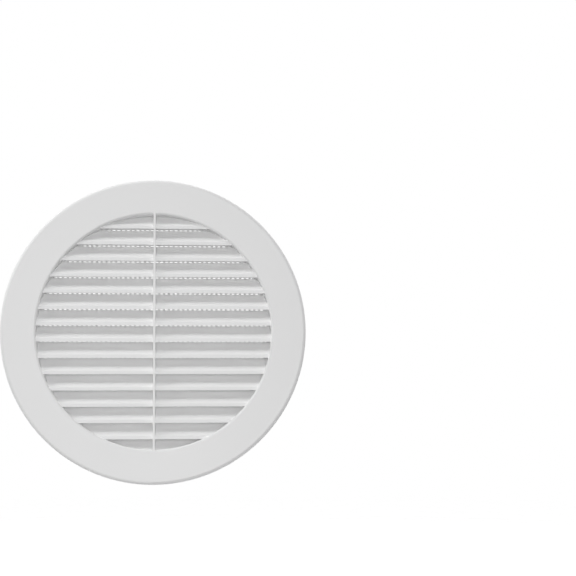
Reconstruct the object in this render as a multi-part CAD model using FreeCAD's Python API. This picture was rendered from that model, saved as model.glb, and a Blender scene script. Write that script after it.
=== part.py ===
"""Round louvred vent cover: a one-piece moulded cover and the insect screen behind its slats.

Millimetres. The wall plane is y = 0, the front faces -Y, the spigot runs back along +Y, +Z is up.
"""
import FreeCAD
import Part

import math
import os

# Spigot, the tube that goes into the duct
spigot_outer_diameter = 149.0
spigot_wall = 2.0
spigot_length = 36.0
spigot_lead_in = 1.2

# Flange, a flat face whose turned-back rim meets the wall
flange_overhang = 19.5
flange_wall = 2.2
flange_recess = 1.4
rim_width = 2.0
rim_edge_radius = 2.0
opening_edge_radius = 1.4

# Louvre, fixed slats that just close the view from straight ahead
slat_pitch = 10.0
slat_depth = 15.0
slat_thickness = 1.6
lip_height = 2.2
lip_thickness = 1.6
lip_edge_radius = 1.2
lip_setback = 1.6

# Mullion, the upright rib that ties the slats together
mullion_width = 1.5
mullion_edge_radius = 0.3

# Insect screen, a moulded disc held against the slats by snap nubs
screen_side_gap = 0.3
screen_thickness = 1.2
screen_rim_width = 1.0
screen_rim_depth = 2.4
screen_bar_pitch = 3.0
screen_bar_width = 1.35
nub_count = 6
nub_height = 0.9
nub_length = 3.0
nub_arc_degrees = 6.0
nub_gap = 0.2

# Places that follow from the sizes above
spigot_radius = spigot_outer_diameter / 2
bore_radius = spigot_radius - spigot_wall
flange_radius = spigot_radius + flange_overhang
face_y = -(flange_wall + flange_recess)
lip_y = face_y + lip_setback
slat_rear_y = lip_y + slat_depth
screen_radius = bore_radius - screen_side_gap
mesh_radius = screen_radius - screen_rim_width
screen_rear_y = slat_rear_y + screen_rim_depth
wall_middle_radius = bore_radius + spigot_wall / 2

rear_axis = FreeCAD.Vector(0, 1, 0)
centre = FreeCAD.Vector(0, 0, 0)


def rounded_wire(corners):
    """Closed wire through (point, radius) corners, each radius above zero made a tangent rounding.

    A rounding is two arcs that meet at its middle, because turned faces of half the arc mesh lighter.
    """
    edges = []
    first_start = None
    previous_end = None
    for index, (point, radius) in enumerate(corners):
        before = corners[index - 1][0]
        after = corners[(index + 1) % len(corners)][0]
        start = end = point
        halves = []
        if radius > 0:
            to_before = (before - point).normalize()
            to_after = (after - point).normalize()
            half_angle = to_before.getAngle(to_after) / 2
            setback = radius / math.tan(half_angle)
            start = point + to_before * setback
            end = point + to_after * setback
            bisector = (to_before + to_after).normalize()
            middle = point + bisector * (radius / math.sin(half_angle) - radius)
            arc = Part.Arc(start, middle, end)
            half = (arc.FirstParameter + arc.LastParameter) / 2
            halves = [arc.toShape(arc.FirstParameter, half), arc.toShape(half, arc.LastParameter)]
        if previous_end is None:
            first_start = start
        else:
            edges.append(Part.LineSegment(previous_end, start).toShape())
        edges += halves
        previous_end = end
    edges.append(Part.LineSegment(previous_end, first_start).toShape())
    return Part.Wire(edges)


def rounded_face(corners):
    """Flat face inside rounded_wire(corners)."""
    return Part.Face(rounded_wire(corners))


def disc(radius, y_from, y_to):
    """Solid cylinder on the cover's axis between two depths."""
    return Part.makeCylinder(radius, y_to - y_from, FreeCAD.Vector(0, y_from, 0), rear_axis)


def ring_section(radius, y):
    """Point of a turned profile, at x = radius."""
    return FreeCAD.Vector(radius, y, 0)


def make_ring():
    """Flange and spigot, one profile turned about the axis."""
    opening_edge = min(opening_edge_radius, spigot_wall)
    profile = rounded_face([
        (ring_section(bore_radius, face_y), opening_edge),
        (ring_section(flange_radius, face_y), rim_edge_radius),
        (ring_section(flange_radius, 0), 0),
        (ring_section(flange_radius - rim_width, 0), 0),
        (ring_section(flange_radius - rim_width, -flange_recess), 0),
        (ring_section(spigot_radius, -flange_recess), 0),
        (ring_section(spigot_radius, spigot_length - spigot_lead_in), 0),
        (ring_section(spigot_radius - spigot_lead_in, spigot_length), 0),
        (ring_section(bore_radius, spigot_length), 0),
    ])
    return profile.revolve(centre, rear_axis, 360)


def make_slat(lip_bottom_z):
    """One slat: a front lip with a drip edge, then a blade rising to the lip level of the slat above."""
    blade_slope = math.atan2(slat_pitch - lip_height, slat_depth)
    blade_drop = slat_thickness / math.cos(blade_slope)
    blade_back_z = lip_height + lip_thickness * math.tan(blade_slope) - blade_drop

    def at(depth, height):
        return FreeCAD.Vector(-bore_radius - spigot_wall, lip_y + depth, lip_bottom_z + height)

    section = rounded_face([
        (at(0, 0), 0),
        (at(0, lip_height), lip_edge_radius),
        (at(slat_depth, slat_pitch), 0),
        (at(slat_depth, slat_pitch - blade_drop), 0),
        (at(lip_thickness, blade_back_z), 0),
        (at(lip_thickness, 0), 0),
    ])
    blade = section.extrude(FreeCAD.Vector(2 * (bore_radius + spigot_wall), 0, 0))
    return blade.common(disc(wall_middle_radius, face_y, spigot_length))


def slat_levels():
    """Lip levels of every slat that shows in the opening, with one gap level with the axis."""
    row = math.ceil(bore_radius / slat_pitch)
    level = row * slat_pitch + (slat_pitch - lip_height) / 2
    levels = []
    while level > -bore_radius - slat_pitch:
        if level < bore_radius:
            levels.append(level)
        level -= slat_pitch
    return levels


def make_mullion():
    """Upright rib, flush with the flange in front and with the slats behind."""
    half = mullion_width / 2
    foot = -bore_radius - spigot_wall

    def at(x, y):
        return FreeCAD.Vector(x, y, foot)

    section = rounded_face([
        (at(-half, face_y), mullion_edge_radius),
        (at(half, face_y), mullion_edge_radius),
        (at(half, slat_rear_y), 0),
        (at(-half, slat_rear_y), 0),
    ])
    rib = section.extrude(FreeCAD.Vector(0, 0, -2 * foot))
    end_radius = bore_radius + (min(opening_edge_radius, spigot_wall) + spigot_wall) / 2
    return rib.common(disc(end_radius, face_y, slat_rear_y))


def make_nubs():
    """Snap nubs on the spigot's inside, each a ramp that holds the screen's rim from behind."""
    seat_y = screen_rear_y + nub_gap
    section = rounded_face([
        (ring_section(wall_middle_radius, seat_y), 0),
        (ring_section(bore_radius - nub_height, seat_y), 0),
        (ring_section(bore_radius, seat_y + nub_length), 0),
        (ring_section(wall_middle_radius, seat_y + nub_length), 0),
    ])
    nub = section.revolve(centre, rear_axis, nub_arc_degrees)
    nubs = []
    for index in range(nub_count):
        turn = 360 / nub_count * index - nub_arc_degrees / 2
        nubs.append(nub.rotated(centre, rear_axis, turn))
    return nubs


def make_cover():
    """The moulded cover as one solid."""
    slats = [make_slat(level) for level in slat_levels()]
    body = make_ring().multiFuse(slats + [make_mullion()] + make_nubs())
    return body.removeSplitter()


def make_screen():
    """Screen disc: upright bars inside a deeper rim."""
    mesh_rear_y = slat_rear_y + screen_thickness
    plate = disc(screen_radius, slat_rear_y, screen_rear_y)
    plate = plate.cut(disc(mesh_radius, mesh_rear_y, screen_rear_y))

    gap_width = screen_bar_pitch - screen_bar_width
    field_radius = mesh_radius - screen_bar_width / 2
    gaps = []
    gap_x = screen_bar_pitch / 2
    while gap_x + gap_width / 2 < field_radius - gap_width:
        gap_top = math.sqrt(field_radius ** 2 - (gap_x + gap_width / 2) ** 2)
        for side in (-1, 1):
            corner = FreeCAD.Vector(side * gap_x - gap_width / 2, slat_rear_y, -gap_top)
            gaps.append(Part.makeBox(gap_width, screen_thickness, 2 * gap_top, corner))
        gap_x += screen_bar_pitch
    return plate.cut(gaps).removeSplitter()


def main():
    """Build each node and write its file."""
    os.makedirs("parts", exist_ok=True)
    nodes = {
        "louvred_cover": make_cover(),
        "insect_screen": make_screen(),
    }
    for name, shape in nodes.items():
        shape.exportStep(f"parts/{name}.step")
        box = shape.BoundBox
        print(name, shape.ShapeType, len(shape.Solids), "solid", shape.isValid(),
              f"{shape.Volume / 1000:.2f} cm3",
              f"{box.XLength:.2f} x {box.YLength:.2f} x {box.ZLength:.2f} mm")


if __name__ == "__main__":
    main()
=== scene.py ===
"""Studio scene of a round louvred vent cover: finishes, fine insect screen, light and camera."""

import logging
import math
from dataclasses import dataclass
from enum import Enum

import bmesh
import bpy
from mathutils import Euler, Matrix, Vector


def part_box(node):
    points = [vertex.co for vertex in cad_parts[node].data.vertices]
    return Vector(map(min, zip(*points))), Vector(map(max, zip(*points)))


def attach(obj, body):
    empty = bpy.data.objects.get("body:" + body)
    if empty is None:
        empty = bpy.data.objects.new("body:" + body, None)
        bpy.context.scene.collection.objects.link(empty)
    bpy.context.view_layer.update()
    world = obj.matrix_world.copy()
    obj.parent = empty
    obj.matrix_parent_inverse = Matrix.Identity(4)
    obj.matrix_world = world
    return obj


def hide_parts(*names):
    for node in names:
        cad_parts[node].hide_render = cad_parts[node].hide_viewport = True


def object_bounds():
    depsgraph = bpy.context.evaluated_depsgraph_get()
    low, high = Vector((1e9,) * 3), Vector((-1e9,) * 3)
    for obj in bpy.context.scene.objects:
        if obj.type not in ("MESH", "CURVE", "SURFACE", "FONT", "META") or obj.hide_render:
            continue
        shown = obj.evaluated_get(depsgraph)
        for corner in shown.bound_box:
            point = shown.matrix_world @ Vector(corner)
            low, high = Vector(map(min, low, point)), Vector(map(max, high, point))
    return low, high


LOG = logging.getLogger("vent_cover")
IMAGE_PIXELS = 576
MM = 0.001
WHITE = (1.0, 1.0, 1.0, 1.0)
NOISE_MEAN = 0.5
# The grooves between the slats get much of their light from the slats around them.
DIFFUSE_BOUNCES = 12

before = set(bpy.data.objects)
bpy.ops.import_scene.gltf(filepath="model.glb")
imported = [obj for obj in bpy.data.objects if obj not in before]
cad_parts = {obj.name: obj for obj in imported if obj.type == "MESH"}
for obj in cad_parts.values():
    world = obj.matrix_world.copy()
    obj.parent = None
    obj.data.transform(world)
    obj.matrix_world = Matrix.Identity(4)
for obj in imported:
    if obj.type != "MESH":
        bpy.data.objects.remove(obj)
CAD_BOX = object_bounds()


class Node(Enum):
    """CAD nodes that the scene dresses."""

    COVER = "louvred_cover"
    SCREEN = "insect_screen"


class Slot(Enum):
    """Material slot of the record for the piece that is modelled here."""

    SCREEN = "screen_plastic"


def new_object(name: str, mesh_source: bmesh.types.BMesh) -> bpy.types.Object:
    """Turn a bmesh into an object at the origin.

    Args:
        name: Name of the object and its mesh.
        mesh_source: The finished bmesh, freed here.

    Returns:
        The linked object.
    """
    mesh = bpy.data.meshes.new(name)
    mesh_source.to_mesh(mesh)
    mesh_source.free()
    piece = bpy.data.objects.new(name, mesh)
    bpy.context.scene.collection.objects.link(piece)
    return piece


def math_node(tree: bpy.types.NodeTree, operation: str,
              *inputs: float | bpy.types.NodeSocket) -> bpy.types.NodeSocket:
    """Add a Math node.

    Args:
        tree: Node tree to add to.
        operation: Name of the operation.
        inputs: A number or a socket for each input, in order.

    Returns:
        The output of the node.
    """
    node = tree.nodes.new("ShaderNodeMath")
    node.operation = operation
    for socket, given in zip(node.inputs, inputs):
        if isinstance(given, bpy.types.NodeSocket):
            tree.links.new(given, socket)
        else:
            socket.default_value = given
    return node.outputs[0]


@dataclass(frozen=True)
class MouldedGrain:
    """Shared node group of a moulded face: slow tone drift, roughness drift and fine grain.

    Attributes:
        name: Group name.
        drift_scale: Scale of the slow drift, per metre.
        drift_detail: Octaves of the slow drift.
        grain_detail: Octaves of the fine grain.
        roughness_drift: Amount by which the roughness drifts over the piece.
    """

    name: str = "moulded_grain"
    drift_scale: float = 14.0
    drift_detail: float = 3.0
    grain_detail: float = 2.0
    roughness_drift: float = 0.12

    def make(self) -> bpy.types.NodeTree:
        """Build the group on first use.

        Returns:
            The group, with the place, the mean values and the grain's scale as its inputs.
        """
        if self.name in bpy.data.node_groups:
            return bpy.data.node_groups[self.name]
        group = bpy.data.node_groups.new(self.name, "ShaderNodeTree")
        for name, kind in (("Place", "Vector"), ("Color", "Color"), ("Roughness", "Float"),
                           ("Tone Swing", "Float"), ("Grain Scale", "Float")):
            group.interface.new_socket(name, in_out="INPUT", socket_type=f"NodeSocket{kind}")
        for name, kind in (("Color", "Color"), ("Roughness", "Float"), ("Height", "Float")):
            group.interface.new_socket(name, in_out="OUTPUT", socket_type=f"NodeSocket{kind}")
        nodes = group.nodes
        links = group.links
        given = nodes.new("NodeGroupInput")
        result = nodes.new("NodeGroupOutput")

        drift = nodes.new("ShaderNodeTexNoise")
        drift.inputs["Scale"].default_value = self.drift_scale
        drift.inputs["Detail"].default_value = self.drift_detail
        links.new(given.outputs["Place"], drift.inputs["Vector"])
        centred = math_node(group, "SUBTRACT", drift.outputs["Fac"], NOISE_MEAN)

        swing = math_node(group, "MULTIPLY_ADD", centred, given.outputs["Tone Swing"], 1.0)
        toned = nodes.new("ShaderNodeVectorMath")
        toned.operation = "SCALE"
        links.new(given.outputs["Color"], toned.inputs[0])
        links.new(swing, toned.inputs["Scale"])
        links.new(toned.outputs[0], result.inputs["Color"])

        rough = math_node(group, "MULTIPLY_ADD", centred, self.roughness_drift,
                          given.outputs["Roughness"])
        links.new(rough, result.inputs["Roughness"])

        grain = nodes.new("ShaderNodeTexNoise")
        grain.inputs["Detail"].default_value = self.grain_detail
        links.new(given.outputs["Place"], grain.inputs["Vector"])
        links.new(given.outputs["Grain Scale"], grain.inputs["Scale"])
        links.new(grain.outputs["Fac"], result.inputs["Height"])
        return group


@dataclass(frozen=True)
class MouldedPlastic:
    """Satin white plastic with the faint grain of a moulded face.

    Attributes:
        name: Material name.
        roughness: Mean roughness.
        color: Base colour, linear.
        specular_level: Strength of the plastic's sheen.
        chalkiness: Diffuse roughness of the fine eroded face, which keeps sloping faces light.
        tone_swing: Share by which the colour drifts over the piece.
        grain_mm: Size of the moulded grain.
        grain_depth_mm: Height of the moulded grain.
        grain_strength: Share of that height which shows.
    """

    name: str
    roughness: float
    color: tuple[float, float, float] = (0.92, 0.92, 0.92)
    specular_level: float = 0.45
    chalkiness: float = 0.85
    tone_swing: float = 0.02
    grain_mm: float = 0.35
    grain_depth_mm: float = 0.02
    grain_strength: float = 0.35

    def make(self) -> bpy.types.Material:
        """Build the material.

        Returns:
            The node material.
        """
        material = bpy.data.materials.new(self.name)
        material.use_nodes = True
        nodes = material.node_tree.nodes
        links = material.node_tree.links
        shader = nodes["Principled BSDF"]
        shader.inputs["Specular IOR Level"].default_value = self.specular_level
        shader.inputs["Diffuse Roughness"].default_value = self.chalkiness

        place = nodes.new("ShaderNodeTexCoord")
        grain = nodes.new("ShaderNodeGroup")
        grain.node_tree = MouldedGrain().make()
        grain.inputs["Color"].default_value = (*self.color, 1.0)
        grain.inputs["Roughness"].default_value = self.roughness
        grain.inputs["Tone Swing"].default_value = self.tone_swing
        grain.inputs["Grain Scale"].default_value = 1.0 / (self.grain_mm * MM)
        links.new(place.outputs["Object"], grain.inputs["Place"])
        links.new(grain.outputs["Color"], shader.inputs["Base Color"])
        links.new(grain.outputs["Roughness"], shader.inputs["Roughness"])

        bump = nodes.new("ShaderNodeBump")
        bump.inputs["Strength"].default_value = self.grain_strength
        bump.inputs["Distance"].default_value = self.grain_depth_mm * MM
        links.new(grain.outputs["Height"], bump.inputs["Height"])
        links.new(bump.outputs["Normal"], shader.inputs["Normal"])
        return material


@dataclass
class LouvredCover:
    """The one-piece moulded cover.

    Attributes:
        finish: Plastic of the cover.
    """

    finish: MouldedPlastic

    def build(self) -> bpy.types.Object:
        """Dress the CAD solid.

        Returns:
            The dressed object.
        """
        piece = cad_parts[Node.COVER.value]
        piece.data.materials.clear()
        piece.data.materials.append(self.finish.make())
        return piece


@dataclass
class InsectScreen:
    """Moulded screen with its full mesh, in place of the CAD screen's upright bars.

    Attributes:
        finish: Plastic of the screen.
        bar_pitch: Distance between upright bars.
        level_pitch: Distance between level bars, a third of the slat pitch.
        level_offset: Height of one level bar above the screen's centre.
        bar_width: Width of each bar.
        rim_width: Width of the rim seen from behind.
        mesh_thickness: Thickness of the mesh.
        rim_lap: Depth by which the mesh runs into the rim.
        trim_sides: Straight cuts that trim the mesh round.
        trim_tolerance: Distance within which a corner counts as lying on a cut.
        rim_steps: Facets around the rim.
    """

    finish: MouldedPlastic
    bar_pitch: float = 3.0 * MM
    level_pitch: float = 10.0 / 3.0 * MM
    level_offset: float = 1.95 * MM
    bar_width: float = 1.35 * MM
    rim_width: float = 1.0 * MM
    mesh_thickness: float = 1.2 * MM
    rim_lap: float = 0.5 * MM
    trim_sides: int = 96
    trim_tolerance: float = 0.0001 * MM
    rim_steps: int = 128

    def build(self) -> bpy.types.Object:
        """Model the screen in the CAD screen's place.

        Returns:
            The screen object.
        """
        low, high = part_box(Node.SCREEN.value)
        radius = (high.z - low.z) / 2
        mesh = bmesh.new()
        self._start_wall(mesh, radius - self.rim_width + self.rim_lap, low.y)
        self._add_rim(mesh, radius, low.y, high.y)
        bmesh.ops.recalc_face_normals(mesh, faces=mesh.faces[:])
        piece = new_object("insect_screen_mesh", mesh)
        piece.data.materials.append(self.finish.make())
        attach(piece, "root")
        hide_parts(Node.SCREEN.value)
        return piece

    def _start_wall(self, mesh: bmesh.types.BMesh, radius: float, front: float) -> None:
        """Make the round wall of square holes.

        Args:
            mesh: Empty bmesh to make it in.
            radius: Radius to which the wall is trimmed.
            front: Depth of the wall's front face.
        """
        columns = 2 * math.ceil(radius / self.bar_pitch)
        rows = 2 * math.ceil((radius + self.level_offset) / self.level_pitch)
        bmesh.ops.create_grid(mesh, x_segments=columns, y_segments=rows, size=0.5)
        bmesh.ops.scale(mesh, vec=(columns * self.bar_pitch, rows * self.level_pitch, 1.0),
                        verts=mesh.verts[:])
        bmesh.ops.translate(mesh, verts=mesh.verts[:], vec=(0.0, self.level_offset, 0.0))
        bars = bmesh.ops.inset_individual(mesh, faces=mesh.faces[:], thickness=self.bar_width / 2,
                                          use_even_offset=True)
        kept = set(bars["faces"])
        bmesh.ops.delete(mesh, geom=[face for face in mesh.faces if face not in kept],
                         context="FACES")
        for side in range(self.trim_sides):
            angle = 2 * math.pi * side / self.trim_sides
            outward = Vector((math.cos(angle), math.sin(angle), 0.0))
            bmesh.ops.bisect_plane(mesh, geom=mesh.verts[:] + mesh.edges[:] + mesh.faces[:],
                                   dist=self.trim_tolerance, plane_co=outward * radius,
                                   plane_no=outward, clear_outer=True)
        bmesh.ops.rotate(mesh, verts=mesh.verts[:], matrix=Euler((math.pi / 2, 0, 0)).to_matrix())
        bmesh.ops.translate(mesh, verts=mesh.verts[:], vec=(0.0, front, 0.0))
        grown = bmesh.ops.extrude_face_region(mesh, geom=mesh.faces[:], use_keep_orig=True)
        rear = [item for item in grown["geom"] if isinstance(item, bmesh.types.BMVert)]
        bmesh.ops.translate(mesh, verts=rear, vec=(0.0, self.mesh_thickness, 0.0))

    def _add_rim(self, mesh: bmesh.types.BMesh, radius: float, front: float, rear: float) -> None:
        """Add the rim by turning its section about the axis.

        Args:
            mesh: Bmesh to add to.
            radius: Outer radius.
            front: Depth of the front face.
            rear: Depth of the rear face.
        """
        inner = radius - self.rim_width
        corners = [mesh.verts.new((r, y, 0.0)) for r, y in
                   ((inner, front), (radius, front), (radius, rear), (inner, rear))]
        edges = [mesh.edges.new((corners[index - 1], corner)) for index, corner in enumerate(corners)]
        bmesh.ops.spin(mesh, geom=corners + edges, cent=(0, 0, 0), axis=(0, 1, 0),
                       angle=2 * math.pi, steps=self.rim_steps, use_merge=True)


class TentWall(Enum):
    """Glowing walls of the light tent, each with the direction from the cover to it."""

    BACK = (0.0, 1.0, 0.0)
    TOP = (0.0, 0.0, 1.0)
    BOTTOM = (0.0, 0.0, -1.0)


@dataclass(frozen=True)
class Softbox:
    """One square lamp aimed at the cover.

    Attributes:
        name: Lamp name.
        place: Where the lamp stands.
        side: Side length of the lamp.
        power: Lamp power in watts.
    """

    name: str
    place: tuple[float, float, float]
    side: float
    power: float

    def build(self) -> None:
        """Make the lamp and aim it at the origin."""
        light = bpy.data.lights.new(self.name, "AREA")
        light.shape = "SQUARE"
        light.size = self.side
        light.energy = self.power
        lamp = bpy.data.objects.new(self.name, light)
        lamp.location = self.place
        lamp.rotation_euler = Vector(self.place).to_track_quat("Z", "Y").to_euler()
        bpy.context.scene.collection.objects.link(lamp)


@dataclass
class Studio:
    """Light tent, lamps and a pale floor.

    Attributes:
        walls: Brightness of each tent wall.
        lamps: Lamps inside the tent.
        wall_falloff: Power of the cosine by which each wall fades into the next.
        floor_drop: Gap between the cover's lowest point and the floor.
        floor_reach: Distance at which the floor has faded into the background.
        floor_fade_start: Share of that distance at which the fade starts.
        floor_color: Grey level of the floor.
        floor_roughness: Roughness of the floor.
        floor_glow: Glow that brings the floor up to the white of the background.
    """

    walls: dict[TentWall, float]
    lamps: tuple[Softbox, ...]
    wall_falloff: float = 2.0
    floor_drop: float = 0.12
    floor_reach: float = 1.5
    floor_fade_start: float = 0.2
    floor_color: float = 0.94
    floor_roughness: float = 0.9
    floor_glow: float = 0.5

    def build(self) -> None:
        """Make the tent, the lamps and the floor."""
        self._tent()
        for lamp in self.lamps:
            lamp.build()
        self._floor()

    def _tent(self) -> None:
        """Light from every side by its own wall, and plain white where it is seen or mirrored."""
        world = bpy.data.worlds.new("light_tent")
        bpy.context.scene.world = world
        world.use_nodes = True
        tree = world.node_tree
        place = tree.nodes.new("ShaderNodeTexCoord")
        glow = 0.0
        for wall, level in self.walls.items():
            facing = tree.nodes.new("ShaderNodeVectorMath")
            facing.operation = "DOT_PRODUCT"
            facing.inputs[1].default_value = wall.value
            tree.links.new(place.outputs["Generated"], facing.inputs[0])
            ahead = math_node(tree, "MAXIMUM", facing.outputs["Value"], 0.0)
            fade = math_node(tree, "POWER", ahead, self.wall_falloff)
            glow = math_node(tree, "MULTIPLY_ADD", fade, level, glow)

        path = tree.nodes.new("ShaderNodeLightPath")
        seen = path.outputs["Is Camera Ray"]
        for ray in ("Is Glossy Ray", "Is Transmission Ray"):
            seen = math_node(tree, "MAXIMUM", seen, path.outputs[ray])
        strength = tree.nodes.new("ShaderNodeMix")
        strength.inputs["B"].default_value = 1.0
        tree.links.new(seen, strength.inputs["Factor"])
        tree.links.new(glow, strength.inputs["A"])
        shade = tree.nodes["Background"]
        shade.inputs["Color"].default_value = WHITE
        tree.links.new(strength.outputs["Result"], shade.inputs["Strength"])

    def _floor(self) -> None:
        """Pale floor under the cover, clear from below and at its edge."""
        low, _ = CAD_BOX
        mesh = bmesh.new()
        bmesh.ops.create_grid(mesh, x_segments=1, y_segments=1, size=self.floor_reach)
        bmesh.ops.translate(mesh, verts=mesh.verts[:], vec=(0.0, 0.0, low[2] - self.floor_drop))
        floor = new_object("studio_floor", mesh)
        floor.data.materials.append(self._floor_finish())
        floor.visible_diffuse = False
        floor.visible_glossy = False
        floor.visible_transmission = False
        floor.visible_shadow = False

    def _floor_finish(self) -> bpy.types.Material:
        """Build the floor's matt white.

        Returns:
            The node material.
        """
        material = bpy.data.materials.new("floor_white")
        material.use_nodes = True
        nodes = material.node_tree.nodes
        links = material.node_tree.links
        shader = nodes["Principled BSDF"]
        shader.inputs["Base Color"].default_value = (self.floor_color,) * 3 + (1.0,)
        shader.inputs["Roughness"].default_value = self.floor_roughness
        shader.inputs["Emission Color"].default_value = WHITE
        shader.inputs["Emission Strength"].default_value = self.floor_glow

        place = nodes.new("ShaderNodeTexCoord")
        away = nodes.new("ShaderNodeVectorMath")
        away.operation = "LENGTH"
        links.new(place.outputs["Object"], away.inputs[0])
        fade = nodes.new("ShaderNodeMapRange")
        fade.interpolation_type = "SMOOTHSTEP"
        fade.inputs["From Min"].default_value = self.floor_reach * self.floor_fade_start
        fade.inputs["From Max"].default_value = self.floor_reach
        links.new(away.outputs["Value"], fade.inputs["Value"])
        side = nodes.new("ShaderNodeNewGeometry")
        gone = math_node(material.node_tree, "MAXIMUM", fade.outputs["Result"],
                         side.outputs["Backfacing"])
        clear = nodes.new("ShaderNodeBsdfTransparent")
        mixed = nodes.new("ShaderNodeMixShader")
        links.new(gone, mixed.inputs["Fac"])
        links.new(shader.outputs["BSDF"], mixed.inputs[1])
        links.new(clear.outputs["BSDF"], mixed.inputs[2])
        links.new(mixed.outputs["Shader"], nodes["Material Output"].inputs["Surface"])
        return material


@dataclass
class PhotoCamera:
    """Camera that puts the cover where the photograph has it.

    Attributes:
        centre_pixel: Pixel of the flange's centre.
        flange_pixels: Flange radius in pixels.
        distance: Distance from the lens to the flange's face.
        height: Camera's height above the cover's axis.
        roll_degrees: Turn about the view axis that levels the slats.
        sensor_mm: Width of the sensor.
        clip_start: Nearest distance that the camera shows.
    """

    centre_pixel: tuple[float, float] = (154.2, 331.4)
    flange_pixels: float = 151.9
    distance: float = 0.9
    height: float = -0.03
    roll_degrees: float = -0.09
    sensor_mm: float = 36.0
    clip_start: float = 0.01

    def build(self) -> None:
        """Make the camera and set it on the scene."""
        low, high = CAD_BOX
        face = low[1]
        radius = (high[2] - low[2]) / 2
        focal_pixels = self.flange_pixels * self.distance / radius

        data = bpy.data.cameras.new("photo_camera")
        data.sensor_width = self.sensor_mm
        data.lens = focal_pixels * self.sensor_mm / IMAGE_PIXELS
        data.clip_start = self.clip_start
        camera = bpy.data.objects.new("photo_camera", data)
        camera.location = (0.0, face - self.distance, self.height)

        # Tilt and pan bring the flange's centre to its pixel.
        across = (self.centre_pixel[0] - IMAGE_PIXELS / 2) / focal_pixels
        up = (IMAGE_PIXELS / 2 - self.centre_pixel[1]) / focal_pixels
        sight = Vector((0.0, face, 0.0)) - camera.location
        rise = sight.z / sight.length
        ray = math.sqrt(across ** 2 + 1.0 + up ** 2)
        tilt = math.asin(ray * rise / math.sqrt(1.0 + up ** 2)) - math.atan(up)
        pan = math.atan2(across, math.cos(tilt) - up * math.sin(tilt))
        turn = Euler((math.pi / 2 + tilt, 0.0, pan), "XYZ").to_matrix()
        roll = Euler((0.0, 0.0, math.radians(self.roll_degrees)), "XYZ").to_matrix()
        camera.rotation_euler = (turn @ roll).to_euler()
        bpy.context.scene.collection.objects.link(camera)
        bpy.context.scene.camera = camera


def main() -> None:
    """Build the cover, the screen, the studio and the camera."""
    logging.basicConfig(level=logging.INFO, format="%(name)s: %(message)s")
    bpy.context.scene.view_settings.view_transform = "Standard"
    bpy.context.scene.cycles.diffuse_bounces = DIFFUSE_BOUNCES
    cover_finish = MouldedPlastic("white_cover_plastic", roughness=0.42)
    screen_finish = MouldedPlastic("white_screen_plastic", roughness=0.5)
    for part in (LouvredCover(cover_finish), InsectScreen(screen_finish)):
        piece = part.build()
        LOG.info("%s: %d faces", piece.name, len(piece.data.polygons))
    Studio(
        walls={TentWall.BACK: 1.47, TentWall.TOP: 0.5, TentWall.BOTTOM: 0.22},
        lamps=(
            Softbox("key_left", place=(-0.7, -0.25, 0.35), side=0.35, power=2.0),
            Softbox("front", place=(0.0, -1.2, 0.0), side=0.3, power=4.7),
            Softbox("top_front", place=(0.0, -0.69, 0.98), side=0.8, power=4.3),
            Softbox("low_fill", place=(0.0, -0.2, -0.3), side=0.2, power=0.13),
        ),
    ).build()
    PhotoCamera().build()


if __name__ == "__main__":
    main()
